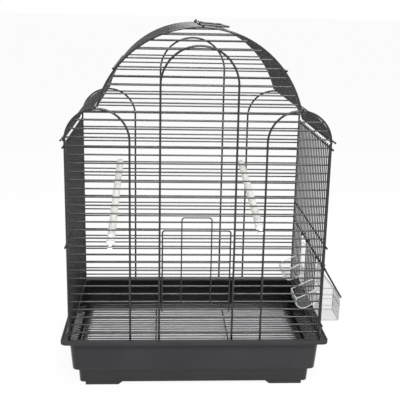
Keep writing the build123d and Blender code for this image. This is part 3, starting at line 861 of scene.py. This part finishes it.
# Base tub
tray_width = 425.0
tray_depth = 296.0
tray_wall = 2.5
tray_corner = 10.0
corner_step = 1.0
lip_rise = 1.8
lip_drop = 4.2
body_side_inset = 12.4
body_front_inset = 11.0
upper_draft = math.tan(math.radians(4.3))
ledge_height = 32.0
ledge_side_inset = 8.7
ledge_front_inset = 5.0
lower_draft = math.tan(math.radians(4.0))
foot_height = 5.5
foot_length = 53.0
foot_depth = 30.0
foot_slope = 7.0
foot_inset = 9.7
foot_shell = 2.0
foot_edge = 0.7
corner_runs = 10

# How far the tub's edges are cut back to be rounded, from the underside to the inside
bottom_edge = 0.4
bottom_cut = 0.8
ledge_under_cut = 1.2
ledge_cut = 1.5
rim_cut = 1.0
lip_root_cut = 0.4
lip_cut = 0.8
shelf_cut = 0.6
shelf_inner_cut = 1.2
inner_ledge_cut = 1.0
cut_limit = 0.45
cut_runs = 3


def rounded_ring(half_x, half_y, corner, z):
    """A level ring of points with round corners."""
    ring = []
    for quarter, (side, end) in enumerate(((1, 1), (-1, 1), (-1, -1), (1, -1))):
        for step in range(corner_runs + 1):
            turn = math.pi / 2 * (quarter + step / corner_runs)
            x = side * (half_x - corner) + corner * math.cos(turn)
            y = end * (half_y - corner) + corner * math.sin(turn)
            ring.append(Vector((x, y, z)))
    return ring


def softened(levels):
    """Levels of a tub with the edges between them rounded. The last value of each is the cut."""
    points = [Vector(level[:4]) for level in levels]
    route = [points[0]]
    for before, point, after, level in zip(points, points[1:], points[2:], levels[1:]):
        start = point + (before - point) * min(cut_limit, level[4] / (before - point).length)
        end = point + (after - point) * min(cut_limit, level[4] / (after - point).length)
        route.extend(smooth_bend(start, point, end, cut_runs))
    route.append(points[-1])
    return route


body_x = tray_width / 2 - body_side_inset
body_y = tray_depth / 2 - body_front_inset
ledge_outer_z = ledge_height - tray_wall
upper_in = (shelf_height - ledge_outer_z) * upper_draft
lower_x = body_x - upper_in - ledge_side_inset
lower_y = body_y - upper_in - ledge_front_inset
lower_in = (ledge_outer_z - foot_height) * lower_draft
upper_corner = tray_corner - corner_step
lower_corner = upper_corner - corner_step
lip_x = tray_width / 2 - tray_wall
lip_y = tray_depth / 2 - tray_wall
rim_bottom = shelf_height - tray_wall
rim_in = tray_wall * upper_draft
lip_low = shelf_height - lip_drop
lip_high = shelf_height + lip_rise
floor_top = foot_height + tray_wall
inner_upper_in = (shelf_height - ledge_height) * upper_draft
inner_lower_in = (ledge_height - floor_top) * lower_draft
inner_x = body_x - tray_wall
inner_y = body_y - tray_wall
inner_lower_x = lower_x - tray_wall
inner_lower_y = lower_y - tray_wall

tub_levels = [
    (lower_x - lower_in, lower_y - lower_in, lower_corner, foot_height, 0),
    (lower_x - lower_in, lower_y - lower_in, lower_corner, foot_height + bottom_edge, bottom_cut),
    (lower_x, lower_y, lower_corner, ledge_outer_z, ledge_under_cut),
    (body_x - upper_in, body_y - upper_in, upper_corner, ledge_outer_z, ledge_cut),
    (body_x - rim_in, body_y - rim_in, upper_corner, rim_bottom, rim_cut),
    (lip_x, lip_y, tray_corner - tray_wall, rim_bottom, lip_root_cut),
    (lip_x, lip_y, tray_corner - tray_wall, lip_low, lip_cut),
    (tray_width / 2, tray_depth / 2, tray_corner, lip_low, lip_cut),
    (tray_width / 2, tray_depth / 2, tray_corner, lip_high, lip_cut),
    (lip_x, lip_y, tray_corner - tray_wall, lip_high, lip_cut),
    (lip_x, lip_y, tray_corner - tray_wall, shelf_height, shelf_cut),
    (inner_x, inner_y, upper_corner - tray_wall, shelf_height, shelf_inner_cut),
    (
        inner_x - inner_upper_in,
        inner_y - inner_upper_in,
        upper_corner - tray_wall,
        ledge_height,
        inner_ledge_cut,
    ),
    (inner_lower_x, inner_lower_y, lower_corner - tray_wall, ledge_height, inner_ledge_cut),
    (
        inner_lower_x - inner_lower_in,
        inner_lower_y - inner_lower_in,
        lower_corner - tray_wall,
        floor_top,
        0,
    ),
]
tub = Shape()
tub.ring_loft([rounded_ring(*level) for level in softened(tub_levels)])
tub_piece = tub.piece("base_tub", "base", charcoal, ("tray",))
# Faces inside the tub take the darker inside plastic: painted shade for the deep tub.
tub_piece.data.materials.append(shaded_inside_charcoal)
for face in tub_piece.data.polygons:
    spot = face.center / MM - middle / MM
    within = abs(spot.x) < inner_x and abs(spot.y) < inner_y
    if within and floor_top - tray_wall / 2 < spot.z < shelf_height:
        face.material_index = 1


def foot_block(shape, side, end):
    """A foot under the tub, flush with its front or back, with a slope towards the middle."""
    outer = lower_x - lower_in - foot_inset
    profile = [
        (outer, foot_height + foot_shell),
        (outer, 0),
        (outer - foot_length, 0),
        (outer - foot_length - foot_slope, foot_height),
        (outer - foot_length - foot_slope, foot_height + foot_shell),
    ]
    if side > 0:
        profile.reverse()
    face = lower_y - lower_in
    near, far = (face - foot_depth, face) if end > 0 else (-face, foot_depth - face)
    rings = []
    for y in (near, far):
        rings.append([Vector((side * x, y, z)) for x, z in profile])
    shape.ring_loft(rings)


feet = Shape()
for side in (-1, 1):
    for end in (-1, 1):
        foot_block(feet, side, end)
feet_piece = feet.piece("base_feet", "base", charcoal)
soften(feet_piece, foot_edge, segments=3, angle=30.0)

# White liner: a shallow pan that fills the lower part of the tub
pan_wall = 0.8
pan_gap = 0.4
pan_drop = 7.5
pan_edge = 0.3
pan_top = ledge_height - pan_drop
pan_corner = lower_corner - tray_wall
pan_top_in = (ledge_height - pan_top) * lower_draft + pan_gap
pan_low_in = inner_lower_in + pan_gap
pan_low_x = inner_lower_x - pan_low_in
pan_low_y = inner_lower_y - pan_low_in
pan_top_x = inner_lower_x - pan_top_in
pan_top_y = inner_lower_y - pan_top_in
pan_inner_corner = pan_corner - pan_wall
pan_levels = [
    (pan_low_x, pan_low_y, pan_corner, floor_top, 0),
    (pan_low_x, pan_low_y, pan_corner, floor_top + pan_edge, pan_edge),
    (pan_top_x, pan_top_y, pan_corner, pan_top, pan_edge),
    (pan_top_x - pan_wall, pan_top_y - pan_wall, pan_inner_corner, pan_top, pan_edge),
    (pan_low_x - pan_wall, pan_low_y - pan_wall, pan_inner_corner, floor_top + pan_wall, 0),
]
pan = Shape()
pan.ring_loft([rounded_ring(*level) for level in softened(pan_levels)])
pan.piece("tub_liner", "base", liner, ("tray_liner",))

# Floor grille
grille_wire = 1.8
grille_rail_wire = 2.8
grille_pitch_target = 9.75
grille_margin = 3.4
grille_rail_inset = 1.8
grille_rail_shares = (-1, -1 / 3, 1 / 3, 1)
grille_half_x = inner_x - upper_in - grille_margin
grille_half_y = inner_y - upper_in - grille_margin
rail_z = ledge_height + seat_gap + grille_rail_wire / 2
grille_z = rail_z + (grille_rail_wire + grille_wire) / 2
grille_spaces = round(2 * (grille_half_y - grille_wire) / grille_pitch_target)
grille_pitch = 2 * (grille_half_y - grille_wire) / grille_spaces
rail_half_x = grille_half_x - grille_rail_inset

grille = Shape()
for number in range(grille_spaces + 1):
    y = -grille_half_y + grille_wire + number * grille_pitch
    grille.tube([(-grille_half_x, y, grille_z), (grille_half_x, y, grille_z)], coated(grille_wire))
grille.wire_piece("grille_wires", "floor_grille", "grille_bars")
rails = Shape()
for share in grille_rail_shares:
    x = share * rail_half_x
    rails.tube([(x, -grille_half_y, rail_z), (x, grille_half_y, rail_z)], grille_rail_wire)
rails.wire_piece("grille_rail_wires", "floor_grille", "grille_rails")


# Floor, light and camera
floor_half_size = 40.0
floor_white_share = 0.94


def seen_directly(tree, path):
    """One for a ray that shows the background: seen straight, reflected or through plastic."""
    total = path.outputs["Is Camera Ray"]
    for kind in ("Is Glossy Ray", "Is Transmission Ray"):
        either = tree.nodes.new("ShaderNodeMath")
        either.operation = "MAXIMUM"
        tree.links.new(total, either.inputs[0])
        tree.links.new(path.outputs[kind], either.inputs[1])
        total = either.outputs[0]
    return total


def white_world(strength):
    """World colour: white where it is seen or reflected, weaker as light."""
    world = bpy.data.worlds.new("studio")
    bpy.context.scene.world = world
    world.use_nodes = True
    tree = world.node_tree
    tree.nodes.clear()
    path = tree.nodes.new("ShaderNodeLightPath")
    white = tree.nodes.new("ShaderNodeBackground")
    white.inputs["Color"].default_value = (1, 1, 1, 1)
    white.inputs["Strength"].default_value = 1.0
    soft = tree.nodes.new("ShaderNodeBackground")
    soft.inputs["Color"].default_value = (1, 1, 1, 1)
    soft.inputs["Strength"].default_value = strength
    mix = tree.nodes.new("ShaderNodeMixShader")
    tree.links.new(seen_directly(tree, path), mix.inputs["Fac"])
    tree.links.new(soft.outputs[0], mix.inputs[1])
    tree.links.new(white.outputs[0], mix.inputs[2])
    out = tree.nodes.new("ShaderNodeOutputWorld")
    tree.links.new(mix.outputs[0], out.inputs["Surface"])


white_world(strength=0.42)


def floor():
    """A pale floor that reads as white and keeps a faint shadow."""
    mesh = bpy.data.meshes.new("floor")
    reach = floor_half_size
    corners = [(-reach, -reach, 0), (reach, -reach, 0), (reach, reach, 0), (-reach, reach, 0)]
    mesh.from_pydata(corners, [], [(0, 1, 2, 3)])
    obj = add_object("floor", mesh)
    material = bpy.data.materials.new("floor_white")
    material.use_nodes = True
    tree = material.node_tree
    shader = tree.nodes["Principled BSDF"]
    shader.inputs["Base Color"].default_value = (0.9, 0.9, 0.9, 1)
    shader.inputs["Roughness"].default_value = 0.9
    path = tree.nodes.new("ShaderNodeLightPath")
    glow = tree.nodes.new("ShaderNodeEmission")
    glow.inputs["Color"].default_value = (1, 1, 1, 1)
    glow.inputs["Strength"].default_value = 1.0
    share = tree.nodes.new("ShaderNodeMath")
    share.operation = "MULTIPLY"
    share.inputs[1].default_value = floor_white_share
    tree.links.new(seen_directly(tree, path), share.inputs[0])
    mix = tree.nodes.new("ShaderNodeMixShader")
    tree.links.new(share.outputs[0], mix.inputs["Fac"])
    tree.links.new(shader.outputs[0], mix.inputs[1])
    tree.links.new(glow.outputs[0], mix.inputs[2])
    out = tree.nodes["Material Output"]
    tree.links.new(mix.outputs[0], out.inputs["Surface"])
    obj.data.materials.append(material)


floor()


def area_light(name, place, target, size, power):
    """A soft rectangular light aimed at a point, in metres and watts."""
    data = bpy.data.lights.new(name, "AREA")
    data.shape = "RECTANGLE"
    data.size, data.size_y = size
    data.energy = power
    obj = add_object(name, data)
    obj.location = Vector(place)
    obj.rotation_euler = (Vector(target) - Vector(place)).to_track_quat("-Z", "Y").to_euler()


area_light("key", place=(0.1, -1.5, 1.5), target=(0, 0, 0.25), size=(0.95, 0.4), power=34)
area_light("fill", place=(1.4, -1.2, 1.1), target=(0, 0, 0.25), size=(1.2, 1.2), power=8)
area_light("top", place=(0.1, 0.1, 2.0), target=(0, 0, 0.2), size=(1.0, 0.8), power=22)


def photo_camera():
    """The photograph's camera, fitted to measured points of the cage."""
    data = bpy.data.cameras.new("photo_camera")
    data.sensor_width = 36.0
    data.lens = 68.19
    data.clip_start = 0.05
    data.clip_end = 100
    obj = add_object("photo_camera", data)
    place = Vector((-58.347, -1248.295, 600.02))
    right = Vector((0.99855018, -0.05030122, 0.01916583))
    up = Vector((-0.00597635, 0.25025135, 0.96816246))
    back = right.cross(up)
    turn = Matrix((right, up, back)).transposed().to_4x4()
    turn.translation = place * MM + middle
    obj.matrix_world = turn
    bpy.context.scene.camera = obj


photo_camera()
bpy.context.scene.view_settings.view_transform = "Standard"
